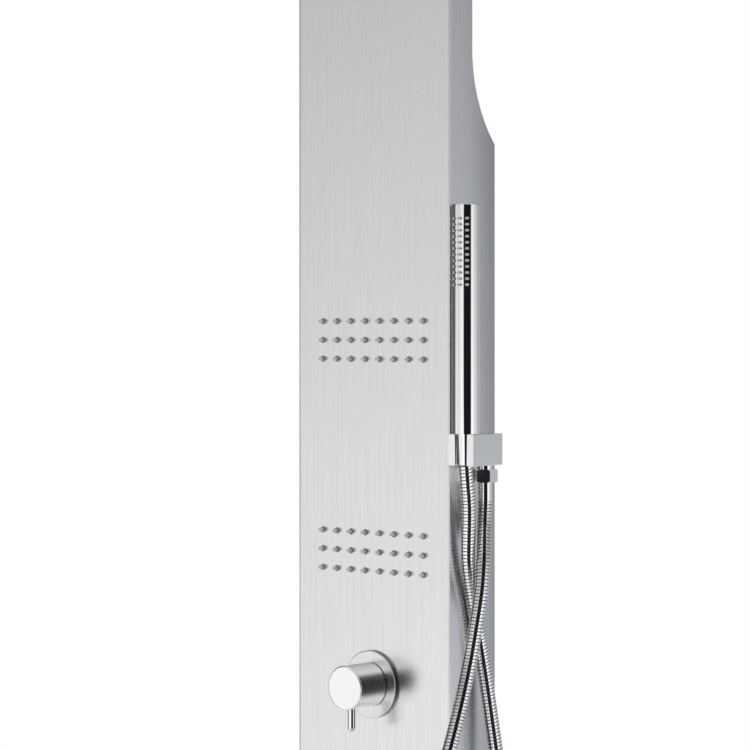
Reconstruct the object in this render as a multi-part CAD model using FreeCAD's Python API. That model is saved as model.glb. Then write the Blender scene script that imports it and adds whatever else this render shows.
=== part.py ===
import FreeCAD, Part
import math
import os

# A wall-mounted shower panel column in satin stainless steel. Millimetres.
# The wall is the plane Y = 0, the front faces -Y, +X is to the right and +Z is up.
# The origin is the centre of the four screws that hold the two wall brackets.

# Casing: two flat cheeks, a folded front sheet between them and a folded cover behind the neck.
panel_width = 200.0
panel_depth = 70.0
panel_base_z = -500.0
cheek_sheet = 1.5
front_sheet = 1.2
sheet_flange = 12.0
sheet_bend = 0.6
cheek_edge = 0.4
neck_depth = 35.0
scoop_radius = 138.6
scoop_z = 478.8
bend_z = 715.0
bend_radius = 150.0
head_reach = 480.0
plate_seam = 0.3
rain_plate_start = 10.0
service_half_width = 45.0
service_front_rim = 3.0
service_rear_rim = 3.5

# Wall brackets and the hanger bars that hook over them.
bracket_spacing = 640.0
bracket_width = 160.0
bracket_height = 40.0
bracket_sheet = 2.5
bracket_stand = 14.0
bracket_lip = 15.5
screw_spacing = 120.0
screw_hole_radius = 2.75
hook_gap = 0.5
hook_depth = 7.5
hanger_drop = 35.0
hanger_tab_depth = 28.0

# Body jets: two groups of rows, each a rubber mat with a manifold clamped behind it.
jet_pitch = 19.0
jet_columns = 8
jet_rows = 3
upper_jets_z = 192.5
lower_jets_z = -18.8
jet_hole_radius = 3.2
jet_base_radius = 3.0
jet_base_proud = 0.8
jet_tip_radius = 2.0
jet_tip_proud = 5.2
jet_bore_radius = 0.6
shoulder_share = 1.15
mat_thickness = 1.5
manifold_margin = 17.5
ear_side_gap = 3.3
manifold_depth = 15.3
manifold_wall = 2.5

# Overhead rain plate.
rain_columns = 9
rain_rows = 10
rain_margin = 10.0
rain_side_gap = 5.3
rain_hole_radius = 2.2
rain_base_radius = 2.0
rain_base_proud = 0.4
rain_tip_radius = 1.3
rain_proud = 3.0
rain_chamber_height = 26.0

# Screws that clamp the manifolds and the rain chamber on bosses.
boss_radius = 3.6
boss_height = 9.0
boss_floor = 1.0
ear_width = 10.0
ear_thickness = 3.0
small_screw_radius = 1.5
small_screw_head = 3.2
small_screw_length = 9.0
head_height_share = 0.7
head_ease_share = 0.3
screw_clearance = 0.1

# Controls.
diverter_z = -150.5
mixer_z = -270.5
valve_back = 18.0
gasket_thickness = 1.0
escutcheon_radius = 33.5
escutcheon_thickness = 4.0
escutcheon_edge = 0.8
thread_clearance = 0.1
hole_clearance = 0.5

diverter_half_width = 26.0
diverter_half_height = 24.0
diverter_neck_radius = 16.0
diverter_neck_length = 9.2
diverter_nut_radius = 19.0
lock_nut_length = 4.0
diverter_cartridge_radius = 12.0
diverter_cartridge_length = 39.0
spindle_radius = 4.0
spindle_length = 57.8
spindle_seat = 6.0
knob_radius = 22.0
knob_length = 37.0
knob_gap = 1.0
knob_wall = 2.4
knob_cup_depth = 11.0
knob_edge = 1.5
knob_grub_inset = 5.0
lever_root = 4.0
pin_lever_radius = 4.0
pin_lever_reach = 44.0
pin_lever_inset = 11.0
grub_radius = 2.0
grub_length = 11.0
port_spread = 12.0

mixer_half_width = 32.0
mixer_half_height = 26.0
mixer_neck_radius = 21.0
mixer_neck_length = 12.2
mixer_nut_radius = 24.6
mixer_nut_length = 6.0
mixer_cartridge_radius = 17.5
mixer_cartridge_length = 42.0
cartridge_seat_width = 3.0
dome_radius = 27.0
dome_wall = 1.8
dome_opening_angle = 38.0
pivot_stand = 14.0
handle_angle = 59.0
handle_gap = 0.4
handle_length = 24.0
handle_edge = 1.5
carrier_radius = 12.0
carrier_length = 24.0
carrier_front = 4.0
carrier_slot_depth = 18.0
stem_radius = 4.0
stem_behind = 12.0
stem_ahead = 34.0
pivot_pin_radius = 1.5
pivot_pin_inset = 1.0
lever_radius = 4.5
lever_reach = 78.0
lever_inset = 12.0
lever_grub_inset = 5.5
inlet_thread_radius = 10.48
inlet_length = 16.0
inlet_spread = 20.0
inlet_bore_radius = 7.0
inlet_bore_rise = 10.0
inlet_duct_rise = 6.0
running_clearance = 0.05

# Copper feed tubes between the valves, the jets, the rain head and the hose outlet.
tube_radius = 6.0
tube_wall = 1.0
tube_bend = 13.0
tube_depth = 35.0
spigot_radius = 8.0
spigot_length = 10.0
manifold_spigot_length = 3.0
duct_radius = 5.0
lower_feed_x = -60.0
handset_feed_run = 2.0
nut_flats = 20.0
nut_length = 12.0
nut_overlap = 4.0
neck_shift_z = 345.0
neck_shift_height = 90.0
neck_tube_bend = 60.0

# Handset, its holder block on the right cheek, and the hose.
handset_stand = 15.5
handset_axis_y = -64.4
outlet_y = -35.0
block_width = 31.2
block_front_proud = 2.0
block_depth = 45.1
block_top_z = 101.6
block_height = 30.7
block_edge = 0.5
pocket_depth = 24.0
pocket_width = 19.1
pocket_rear_wall = 1.5
pocket_wall = 3.0
pocket_fit = 0.2
cone_bore_top = 10.8
cone_bore_bottom = 10.45
block_neck_radius = 7.5
block_neck_length = 4.4
block_thread_radius = 8.0
block_thread_length = 9.5
tail_depth = 8.0
tail_top_radius = 5.5
tail_bore_radius = 4.0
nipple_reach = 8.5
nipple_flange_radius = 14.0
nipple_flange_length = 2.5
block_screw_radius = 1.5
block_screw_head = 2.75
block_screw_rise = 9.2
block_screw_shift = 6.1
block_screw_length = 13.0
block_screw_room = 1.5

handset_radius = 14.05
handset_wall = 1.2
handset_length = 222.3
handset_rest_gap = 0.3
handset_cap_thickness = 1.7
handset_cap_edge = 0.8
cap_plug_length = 5.0
handset_fit = 0.1
handset_core_wall = 2.2
nozzle_rows = 12
nozzle_pitch = 5.83
nozzle_top_z = 310.3
nozzle_columns = 4
nozzle_step_angle = 29.3
nozzle_half_width = 2.2
nozzle_half_height = 1.3
nozzle_proud = 0.7
nozzle_bore_radius = 0.5
nozzle_strip = 1.0
handset_spigot_radius = 7.5
handset_spigot_length = 13.0
handset_plug_length = 12.0

swivel_nut_top = 9.6
swivel_nut_bottom = 8.3
swivel_nut_length = 30.1
washer_thickness = 2.0
washer_bore = 4.5

outlet_nut_flats = 22.0
outlet_nut_length = 12.9
outlet_nut_turn = 32.0
outlet_nut_chamfer = 1.2
ferrule_radius = 7.2
ferrule_length = 18.5

hose_radius = 7.0
hose_arc_share = 0.45
hose_first_run = 15.5
hose_last_run = 18.1

# Cuts and joins run this far past the faces that they cross, and places nearer than a hair are one.
past = 1.0
hair = 1e-4

# Worked out from the sizes above.
front_y = -panel_depth
inner_front_y = front_y + front_sheet
half_width = panel_width / 2
inner_half = half_width - cheek_sheet
axis_x = half_width + handset_stand
head_under_z = bend_z + bend_radius
head_top_z = head_under_z + neck_depth
bend_y = front_y - bend_radius
nose_radius = neck_depth / 2
nose_y = nose_radius - head_reach
nose_z = head_under_z + nose_radius
scoop_y = scoop_radius - neck_depth
rain_start_y = bend_y - rain_plate_start
tube_y = -tube_depth

block_x0 = half_width
block_x1 = half_width + block_width
block_front_y = front_y - block_front_proud
block_back_y = block_front_y + block_depth
block_base_z = block_top_z - block_height
outlet_z = block_top_z - block_height / 2
pocket_back_y = block_back_y - pocket_rear_wall
pocket_front_y = pocket_back_y - pocket_width
elbow_y = (pocket_back_y + pocket_front_y) / 2
flange_x = inner_half - nipple_flange_length
tail_top_z = block_base_z + tail_depth
outlet_nut_top_z = block_base_z - block_neck_length
outlet_nut_base_z = outlet_nut_top_z - outlet_nut_length
outlet_washer_top_z = outlet_nut_top_z - block_thread_length
ferrule_base_z = outlet_nut_base_z - ferrule_length

up = FreeCAD.Vector(0, 0, 1)
right = FreeCAD.Vector(1, 0, 0)
front = FreeCAD.Vector(0, -1, 0)


def vec(x, y, z):
    return FreeCAD.Vector(x, y, z)


def box(x0, x1, y0, y1, z0, z1):
    """A block between three pairs of planes."""
    return Part.makeBox(x1 - x0, y1 - y0, z1 - z0, vec(x0, y0, z0))


def rod(radius, start, end):
    """A round bar from one point to another."""
    along = end - start
    return Part.makeCylinder(radius, along.Length, start, along)


def ring(outer, inner, start, end):
    """A round tube from one point to another."""
    return rod(outer, start, end).cut(rod(inner, start, end))


def cone(start_radius, end_radius, start, end):
    along = end - start
    return Part.makeCone(start_radius, end_radius, along.Length, start, along)


def join(shape, *others):
    return shape.fuse(list(others)).removeSplitter()


def hexagon(flats, start, end, turn=0.0):
    """A hexagonal bar along Z, with its flats a given distance apart."""
    corner = flats / 2 / math.cos(math.radians(30))
    points = []
    for k in range(7):
        angle = math.radians(60 * k + turn)
        points.append(vec(start.x + corner * math.cos(angle), start.y + corner * math.sin(angle), start.z))
    face = Part.Face(Part.makePolygon(points))
    return face.extrude(end - start)


def turned(shape, start, along):
    """A shape made along Z at the origin, stood at a point along another direction."""
    placed = shape.copy()
    spin = FreeCAD.Rotation(up, along)
    placed.Placement = FreeCAD.Placement(start, spin)
    return placed


def save(name, *solids):
    shape = solids[0] if len(solids) == 1 else Part.makeCompound(list(solids))
    shape.exportStep("parts/" + name + ".step")


def mirrored_pairs(values):
    """Each value and its opposite."""
    return [sign * value for value in values for sign in (-1, 1)]


# ---------------------------------------------------------------- casing sheets


def yz(y, z):
    return vec(0, y, z)


def arc(centre_y, centre_z, radius, angle0, angle1):
    """An arc in the YZ plane, with angles in degrees from +Y towards +Z."""
    points = []
    for angle in (angle0, (angle0 + angle1) / 2, angle1):
        a = math.radians(angle)
        points.append(yz(centre_y + radius * math.cos(a), centre_z + radius * math.sin(a)))
    return Part.Arc(*points).toShape()


def line(y0, z0, y1, z1):
    return Part.LineSegment(yz(y0, z0), yz(y1, z1)).toShape()


def front_path(inset, end_y, base_z=panel_base_z):
    """The front of the side profile, from the bottom up and out under the head."""
    y = front_y + inset
    return [
        line(y, base_z, y, bend_z),
        arc(bend_y, bend_z, bend_radius + inset, 0, 90),
        line(bend_y, head_under_z + inset, end_y, head_under_z + inset),
    ]


def rear_path(inset):
    """The rear of the side profile, from the wall up the scoop and over to under the nose."""
    radius = scoop_radius + inset
    wall_angle = 180 + math.degrees(math.acos(scoop_y / radius))
    y = -neck_depth - inset
    return [
        arc(scoop_y, scoop_z, radius, wall_angle, 180),
        line(y, scoop_z, y, bend_z),
        arc(bend_y, bend_z, bend_radius + neck_depth - inset, 0, 90),
        line(bend_y, head_top_z - inset, nose_y, head_top_z - inset),
        arc(nose_y, nose_z, nose_radius - inset, 90, 270),
    ]


def path_end(edges, last):
    edge = edges[-1] if last else edges[0]
    return edge.valueAt(edge.LastParameter if last else edge.FirstParameter)


def strip(path, inset0, inset1, x0, x1):
    """A sheet between two insets of a path, carried across from x0 to x1."""
    outer = path(inset0)
    inner = path(inset1)
    ends = []
    for last in (False, True):
        ends.append(Part.LineSegment(path_end(outer, last), path_end(inner, last)).toShape())
    wire = Part.Wire(Part.__sortEdges__(outer + inner + ends))
    face = Part.Face(wire)
    face.translate(vec(x0, 0, 0))
    return face.extrude(vec(x1 - x0, 0, 0))


def folded(path):
    """A web with a flange along each side, each flange flat against a cheek."""
    web = strip(path, 0, front_sheet, -inner_half, inner_half)
    flange_left = strip(path, 0, sheet_flange, -inner_half, front_sheet - inner_half)
    flange_right = strip(path, 0, sheet_flange, inner_half - front_sheet, inner_half)
    return join(web, flange_left, flange_right)


def on_edge(edge, x):
    box_ = edge.BoundBox
    return abs(box_.XMin - x) < hair and abs(box_.XMax - x) < hair


def fascia_path(inset):
    return front_path(inset, rain_start_y)


def outer_edges(shape, path, x):
    """The edges of a shape that lie on a path's outer line at one side."""
    outline = Part.makeCompound(path(0))
    found = []
    for edge in shape.Edges:
        if on_edge(edge, x):
            middle = edge.valueAt((edge.FirstParameter + edge.LastParameter) / 2)
            point = Part.Vertex(vec(0, middle.y, middle.z))
            if outline.distToShape(point)[0] < hair:
                found.append(edge)
    return found


def softened(shape, path):
    edges = outer_edges(shape, path, -inner_half) + outer_edges(shape, path, inner_half)
    return shape.makeFillet(sheet_bend, edges)


def jet_places(centre_z):
    places = []
    for row in range(jet_rows):
        for column in range(jet_columns):
            x = (column - (jet_columns - 1) / 2) * jet_pitch
            z = centre_z + (row - (jet_rows - 1) / 2) * jet_pitch
            places.append((x, z))
    return places


boss_x = inner_half - front_sheet - ear_side_gap - ear_width / 2
manifold_half_width = boss_x - ear_width / 2
manifold_half_height = (jet_rows - 1) * jet_pitch / 2 + manifold_margin
manifold_front_y = inner_front_y + mat_thickness
manifold_back_y = manifold_front_y + manifold_depth
boss_end_y = inner_front_y + boss_height
manifold_boss_rise = manifold_half_height - ear_width / 2


def front_boss(x, z):
    start = vec(x, inner_front_y, z)
    boss = rod(boss_radius, start, vec(x, boss_end_y, z))
    hole = rod(small_screw_radius + screw_clearance, start + vec(0, boss_floor, 0), vec(x, boss_end_y, z))
    return boss.cut(hole)


def manifold_screw_places():
    places = []
    for centre_z in (upper_jets_z, lower_jets_z):
        for x in (-boss_x, boss_x):
            for rise in (-manifold_boss_rise, manifold_boss_rise):
                places.append((x, centre_z + rise))
    return places


def make_fascia():
    sheet = softened(folded(fascia_path), fascia_path)
    holes = []
    for centre_z in (upper_jets_z, lower_jets_z):
        for x, z in jet_places(centre_z):
            holes.append(rod(jet_hole_radius, vec(x, front_y - past, z), vec(x, inner_front_y + past, z)))
    for z, neck in ((diverter_z, diverter_neck_radius), (mixer_z, mixer_neck_radius)):
        holes.append(rod(neck + hole_clearance, vec(0, front_y - past, z), vec(0, inner_front_y + past, z)))
    sheet = sheet.cut(Part.makeCompound(holes))
    bosses = [front_boss(x, z) for x, z in manifold_screw_places()]
    return join(sheet, *bosses)


def cheek_face():
    outline = front_path(0, nose_y) + rear_path(0)
    wall_z = path_end(rear_path(0), False).z
    outline.append(line(0, wall_z, 0, panel_base_z))
    outline.append(line(0, panel_base_z, front_y, panel_base_z))
    return Part.Face(Part.Wire(Part.__sortEdges__(outline)))


def across_cheek(radius, shift, rise, x0, x1):
    """A bar across the right cheek, placed from the axis of the water's way into the block."""
    return rod(radius, vec(x0, elbow_y - shift, outlet_z + rise), vec(x1, elbow_y - shift, outlet_z + rise))


def block_screw_holes(x0, x1):
    return [across_cheek(block_screw_radius + screw_clearance, block_screw_shift, rise, x0, x1)
            for rise in (-block_screw_rise, block_screw_rise)]


def make_cheek(side):
    """A flat plate cut to the whole side profile, its outer edge eased."""
    inner_x = side * inner_half
    face = cheek_face()
    face.translate(vec(inner_x, 0, 0))
    plate = face.extrude(vec(side * cheek_sheet, 0, 0))
    eased = []
    for edge in plate.Edges:
        at_wall = abs(edge.BoundBox.YMin) < hair and abs(edge.BoundBox.YMax) < hair
        if on_edge(edge, side * half_width) and not at_wall:
            eased.append(edge)
    plate = plate.makeFillet(cheek_edge, eased)
    if side < 0:
        return plate
    holes = [across_cheek(spigot_radius + screw_clearance, 0, 0, inner_half - past, half_width + past)]
    return plate.cut(Part.makeCompound(holes + block_screw_holes(inner_half - past, half_width + past)))


def make_back_cover():
    return folded(rear_path)


def make_bottom_plate():
    """A closing plate with a lip turned up along its rear and a service opening below the inlets."""
    top = panel_base_z + cheek_sheet
    flange_y = front_y + sheet_flange
    tongue_half = inner_half - front_sheet
    tongue = box(-tongue_half, tongue_half, inner_front_y, flange_y, panel_base_z, top)
    plate = box(-inner_half, inner_half, flange_y, -bracket_stand, panel_base_z, top)
    lip = box(-inner_half, inner_half, -bracket_stand - cheek_sheet, -bracket_stand,
              panel_base_z, panel_base_z + sheet_flange)
    sides = []
    for x in (-inner_half, inner_half - cheek_sheet):
        sides.append(box(x, x + cheek_sheet, flange_y, -bracket_stand,
                         panel_base_z, panel_base_z + sheet_flange))
    opening = box(-service_half_width, service_half_width, flange_y + service_front_rim,
                  -bracket_stand - cheek_sheet - service_rear_rim, panel_base_z - past, top + past)
    return join(plate, tongue, lip, *sides).cut(opening)


# ---------------------------------------------------------------- wall fixing


def make_wall_bracket(z):
    """A folded bracket: screwed plate, a shelf, and an upturned lip that the hanger hooks over."""
    half = bracket_width / 2
    top = z + bracket_height / 2
    plate = box(-half, half, -bracket_sheet, 0, z - bracket_height / 2, top)
    shelf = box(-half, half, -bracket_stand, 0, top - bracket_sheet, top)
    lip = box(-half, half, -bracket_stand, bracket_sheet - bracket_stand, top - bracket_sheet,
              top + bracket_lip)
    bracket = join(plate, shelf, lip)
    for x in mirrored_pairs([screw_spacing / 2]):
        bracket = bracket.cut(rod(screw_hole_radius, vec(x, past, z), vec(x, -bracket_sheet - past, z)))
    return bracket


def make_hanger_bar(z):
    """A folded bar between the cheeks, whose hook rests on the bracket's lip."""
    rest = z + bracket_height / 2 + bracket_lip
    top = rest + bracket_sheet
    web_back = -bracket_stand - hook_gap
    web_front = web_back - bracket_sheet
    web = box(-inner_half, inner_half, web_front, web_back, z - hanger_drop / 2, top)
    cap = box(-inner_half, inner_half, web_front, web_back + hook_depth, rest, top)
    nose = box(-inner_half, inner_half, web_back + hook_depth - bracket_sheet, web_back + hook_depth,
               rest - bracket_lip / 2, top)
    tabs = []
    for x in (-inner_half, inner_half - bracket_sheet):
        tabs.append(box(x, x + bracket_sheet, web_front - hanger_tab_depth, web_back,
                        z - hanger_drop / 2, top))
    return join(web, cap, nose, *tabs)


# ---------------------------------------------------------------- jets and rain head


def nipple(base_radius, tip_radius, start, base_end, tip_end):
    """A hollow rubber nozzle: a straight root, a shoulder and a tapered tip."""
    root = rod(base_radius, start, base_end)
    tip = cone(tip_radius * shoulder_share, tip_radius, base_end, tip_end)
    return root.fuse(tip)


def make_jet_mat(centre_z):
    mat = box(-manifold_half_width, manifold_half_width, inner_front_y, manifold_front_y,
              centre_z - manifold_half_height, centre_z + manifold_half_height)
    nipples = []
    bores = []
    for x, z in jet_places(centre_z):
        nipples.append(nipple(jet_base_radius, jet_tip_radius, vec(x, manifold_front_y, z),
                              vec(x, front_y - jet_base_proud, z),
                              vec(x, front_y - jet_tip_proud, z)))
        bores.append(rod(jet_bore_radius, vec(x, manifold_front_y + past, z),
                         vec(x, front_y - jet_tip_proud - past, z)))
    return join(mat, *nipples).cut(Part.makeCompound(bores))


def make_manifold(centre_z, spigot_x):
    """A moulded tray, open to the mat, with four screw ears and an inlet spigot behind."""
    low = centre_z - manifold_half_height
    high = centre_z + manifold_half_height
    shell = box(-manifold_half_width, manifold_half_width, manifold_front_y, manifold_back_y, low, high)
    ears = []
    for x in (-boss_x, boss_x):
        for rise in (-manifold_boss_rise, manifold_boss_rise):
            z = centre_z + rise
            inner_x = math.copysign(manifold_half_width - past, x)
            outer_x = math.copysign(manifold_half_width + ear_width, x)
            ears.append(box(min(inner_x, outer_x), max(inner_x, outer_x), boss_end_y,
                            boss_end_y + ear_thickness, z - ear_width / 2, z + ear_width / 2))
    spigot_end = manifold_back_y + manifold_spigot_length
    spigot = rod(spigot_radius, vec(spigot_x, manifold_back_y - past, centre_z),
                 vec(spigot_x, spigot_end, centre_z))
    body = join(shell, spigot, *ears)
    cavity = box(-manifold_half_width + manifold_wall, manifold_half_width - manifold_wall,
                 manifold_front_y - past, manifold_back_y - manifold_wall,
                 low + manifold_wall, high - manifold_wall)
    duct = rod(duct_radius, vec(spigot_x, manifold_front_y, centre_z),
               vec(spigot_x, spigot_end + past, centre_z))
    body = body.cut(cavity).cut(duct)
    for x in (-boss_x, boss_x):
        for rise in (-manifold_boss_rise, manifold_boss_rise):
            z = centre_z + rise
            body = body.cut(rod(small_screw_radius + screw_clearance, vec(x, boss_end_y - past, z),
                                vec(x, boss_end_y + ear_thickness + past, z)))
    return body


def pan_screw(radius, head_radius, length, seat, along):
    """A pan-head screw: its head stands on the seat and its shank goes the way of along."""
    shank = rod(radius, seat, seat + along * length)
    height = head_radius * head_height_share
    head = rod(head_radius, seat, seat - along * height)
    rim = [edge for edge in head.Edges
           if edge.Closed and edge.CenterOfMass.distanceToPoint(seat) > height / 2]
    head = head.makeFillet(head_radius * head_ease_share, rim)
    return join(shank, head)


def make_manifold_screws():
    seat_y = boss_end_y + ear_thickness
    return [pan_screw(small_screw_radius, small_screw_head, small_screw_length, vec(x, seat_y, z), front)
            for x, z in manifold_screw_places()]


rain_boss_x = inner_half - front_sheet - rain_side_gap - ear_width / 2
rain_half_width = rain_boss_x - ear_width / 2
rain_pitch = 2 * (rain_half_width - rain_margin) / (rain_columns - 1)
rain_half_length = (rain_rows - 1) * rain_pitch / 2 + rain_margin
rain_centre_y = (rain_start_y + nose_y) / 2
plate_top_z = head_under_z + front_sheet
chamber_base_z = plate_top_z + mat_thickness
chamber_top_z = chamber_base_z + rain_chamber_height
rain_boss_end_z = plate_top_z + boss_height
rain_boss_y = rain_half_length - ear_width / 2


def rain_places():
    places = []
    for row in range(rain_rows):
        for column in range(rain_columns):
            x = (column - (rain_columns - 1) / 2) * rain_pitch
            y = rain_centre_y + (row - (rain_rows - 1) / 2) * rain_pitch
            places.append((x, y))
    return places


def rain_screw_places():
    rises = mirrored_pairs([rain_boss_y])
    return [(x, rain_centre_y + rise) for x in mirrored_pairs([rain_boss_x]) for rise in rises]


def make_rain_plate():
    plate = box(-inner_half, inner_half, nose_y + plate_seam, rain_start_y - plate_seam,
                head_under_z, plate_top_z)
    holes = [rod(rain_hole_radius, vec(x, y, head_under_z - past), vec(x, y, plate_top_z + past))
             for x, y in rain_places()]
    plate = plate.cut(Part.makeCompound(holes))
    bosses = []
    for x, y in rain_screw_places():
        boss = rod(boss_radius, vec(x, y, plate_top_z), vec(x, y, rain_boss_end_z))
        hole = rod(small_screw_radius + screw_clearance, vec(x, y, plate_top_z + boss_floor),
                   vec(x, y, rain_boss_end_z))
        bosses.append(boss.cut(hole))
    return join(plate, *bosses)


def make_rain_mat():
    mat = box(-rain_half_width, rain_half_width, rain_centre_y - rain_half_length,
              rain_centre_y + rain_half_length, plate_top_z, chamber_base_z)
    nipples = [nipple(rain_base_radius, rain_tip_radius, vec(x, y, chamber_base_z),
                      vec(x, y, head_under_z - rain_base_proud),
                      vec(x, y, head_under_z - rain_proud)) for x, y in rain_places()]
    bores = [rod(jet_bore_radius, vec(x, y, chamber_base_z + past),
                 vec(x, y, head_under_z - rain_proud - past)) for x, y in rain_places()]
    return join(mat, *nipples).cut(Part.makeCompound(bores))


rain_feed_x = -port_spread
chamber_spigot_y = rain_centre_y + rain_half_length + spigot_length


def make_rain_chamber():
    """A moulded tray, open to the mat, with an inlet spigot at its rear and four screw ears."""
    back_y = rain_centre_y + rain_half_length
    front_edge_y = rain_centre_y - rain_half_length
    body = box(-rain_half_width, rain_half_width, front_edge_y, back_y, chamber_base_z, chamber_top_z)
    spigot = rod(spigot_radius, vec(rain_feed_x, back_y - past, nose_z),
                 vec(rain_feed_x, chamber_spigot_y, nose_z))
    ears = []
    for x, y in rain_screw_places():
        inner_x = math.copysign(rain_half_width - past, x)
        outer_x = math.copysign(rain_half_width + ear_width, x)
        ears.append(box(min(inner_x, outer_x), max(inner_x, outer_x), y - ear_width / 2, y + ear_width / 2,
                        rain_boss_end_z, rain_boss_end_z + ear_thickness))
    body = join(body, spigot, *ears)
    wall = manifold_wall
    cavity = box(wall - rain_half_width, rain_half_width - wall, front_edge_y + wall, back_y - wall,
                 chamber_base_z - past, chamber_top_z - wall)
    duct = rod(duct_radius, vec(rain_feed_x, back_y - 2 * wall, nose_z),
               vec(rain_feed_x, chamber_spigot_y + past, nose_z))
    body = body.cut(cavity).cut(duct)
    for x, y in rain_screw_places():
        body = body.cut(rod(small_screw_radius + screw_clearance, vec(x, y, rain_boss_end_z - past),
                            vec(x, y, rain_boss_end_z + ear_thickness + past)))
    return body


def make_rain_screws():
    seat_z = rain_boss_end_z + ear_thickness
    return [pan_screw(small_screw_radius, small_screw_head, small_screw_length, vec(x, y, seat_z), -up)
            for x, y in rain_screw_places()]


# ---------------------------------------------------------------- valves

valve_front_y = inner_front_y + gasket_thickness
valve_back_y = -valve_back
escutcheon_front_y = front_y - escutcheon_thickness


def on_axis(z, y):
    return vec(0, y, z)


def port(start, along, outer, length):
    """A spigot that starts inside the body that it is joined to."""
    return rod(outer, start - along * past, start + along * length)


def diverter_ports():
    z = diverter_z
    return {
        "inlet": (vec(0, tube_y, z - diverter_half_height), -up),
        "rain": (vec(-port_spread, tube_y, z + diverter_half_height), up),
        "upper": (vec(port_spread, tube_y, z + diverter_half_height), up),
        "lower": (vec(-diverter_half_width, tube_y, z), -right),
        "handset": (vec(diverter_half_width, tube_y, z), right),
    }


def make_diverter_body():
    z = diverter_z
    body = box(-diverter_half_width, diverter_half_width, valve_front_y, valve_back_y,
               z - diverter_half_height, z + diverter_half_height)
    neck = rod(diverter_neck_radius, on_axis(z, valve_front_y + past),
               on_axis(z, valve_front_y - diverter_neck_length))
    spigots = [port(start, along, spigot_radius, spigot_length) for start, along in diverter_ports().values()]
    body = join(body, neck, *spigots)
    chamber = rod(diverter_cartridge_radius + thread_clearance,
                  on_axis(z, valve_front_y - diverter_neck_length - past),
                  on_axis(z, tube_y + duct_radius + past))
    body = body.cut(chamber)
    for start, along in diverter_ports().values():
        inward = along * -diverter_half_height
        body = body.cut(rod(duct_radius, start + inward, start + along * (spigot_length + past)))
    return body


def make_gasket(z, neck_radius, outer):
    return ring(outer, neck_radius + thread_clearance * 2, on_axis(z, inner_front_y),
                on_axis(z, valve_front_y))


def front_rim(shape, y):
    """The round edge of a turned piece where its front face begins."""
    return [edge for edge in shape.Edges if edge.Closed and abs(edge.BoundBox.YMax - y) < hair]


def make_escutcheon(z, neck_radius):
    disc = rod(escutcheon_radius, on_axis(z, front_y), on_axis(z, escutcheon_front_y))
    disc = disc.makeFillet(escutcheon_edge, front_rim(disc, escutcheon_front_y))
    return disc.cut(rod(neck_radius + thread_clearance * 2, on_axis(z, front_y + past),
                        on_axis(z, escutcheon_front_y - past)))


def make_lock_nut(z, neck_radius, outer, length):
    return ring(outer, neck_radius + thread_clearance, on_axis(z, escutcheon_front_y),
                on_axis(z, escutcheon_front_y - length))


cartridge_back_y = tube_y - duct_radius
cartridge_front_y = cartridge_back_y - diverter_cartridge_length
knob_back_y = escutcheon_front_y - knob_gap
knob_front_y = knob_back_y - knob_length
spindle_back_y = cartridge_back_y - spindle_seat
spindle_front_y = spindle_back_y - spindle_length


def make_diverter_cartridge():
    z = diverter_z
    body = rod(diverter_cartridge_radius, on_axis(z, cartridge_back_y), on_axis(z, cartridge_front_y))
    return body.cut(rod(spindle_radius + running_clearance, on_axis(z, spindle_back_y + running_clearance),
                        on_axis(z, cartridge_front_y - past)))


def make_diverter_spindle():
    return rod(spindle_radius, on_axis(diverter_z, spindle_back_y), on_axis(diverter_z, spindle_front_y))


knob_cup_y = knob_back_y - knob_cup_depth
knob_grub_y = knob_cup_y - knob_grub_inset
pin_lever_y = knob_front_y + pin_lever_inset


def grub_screw(y, z):
    """A short screw from below that bites on the shaft."""
    top = z - spindle_radius
    return rod(grub_radius, vec(0, y, top), vec(0, y, top - grub_length))


def grub_hole(y, z, outer):
    return rod(grub_radius + screw_clearance, vec(0, y, z), vec(0, y, z - outer - past))


def make_diverter_knob():
    z = diverter_z
    knob = rod(knob_radius, on_axis(z, knob_back_y), on_axis(z, knob_front_y))
    knob = knob.makeFillet(knob_edge, front_rim(knob, knob_front_y))
    reach = pin_lever_reach - pin_lever_radius
    pin = rod(pin_lever_radius, vec(0, pin_lever_y, z - knob_radius + lever_root),
              vec(0, pin_lever_y, z - reach))
    ball = Part.makeSphere(pin_lever_radius, vec(0, pin_lever_y, z - reach))
    knob = join(knob, pin, ball)
    cup = rod(knob_radius - knob_wall, on_axis(z, knob_back_y + past), on_axis(z, knob_cup_y))
    bore = rod(spindle_radius + thread_clearance / 2, on_axis(z, knob_back_y),
               on_axis(z, spindle_front_y - thread_clearance))
    return knob.cut(cup).cut(bore).cut(grub_hole(knob_grub_y, z, knob_radius))


pivot_y = escutcheon_front_y - pivot_stand
mixer_cartridge_front_y = valve_front_y - mixer_neck_length
mixer_cartridge_back_y = mixer_cartridge_front_y + mixer_cartridge_length
carrier_front_y = pivot_y - carrier_front
carrier_back_y = carrier_front_y + carrier_length
handle_inner = dome_radius + handle_gap
handle_radius = handle_inner * math.sin(math.radians(handle_angle))
handle_back_y = pivot_y - handle_inner * math.cos(math.radians(handle_angle))
handle_front_y = handle_back_y - handle_length
stem_front_y = pivot_y - stem_ahead
lever_y = handle_front_y + lever_inset
lever_grub_y = handle_front_y + lever_grub_inset


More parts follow.
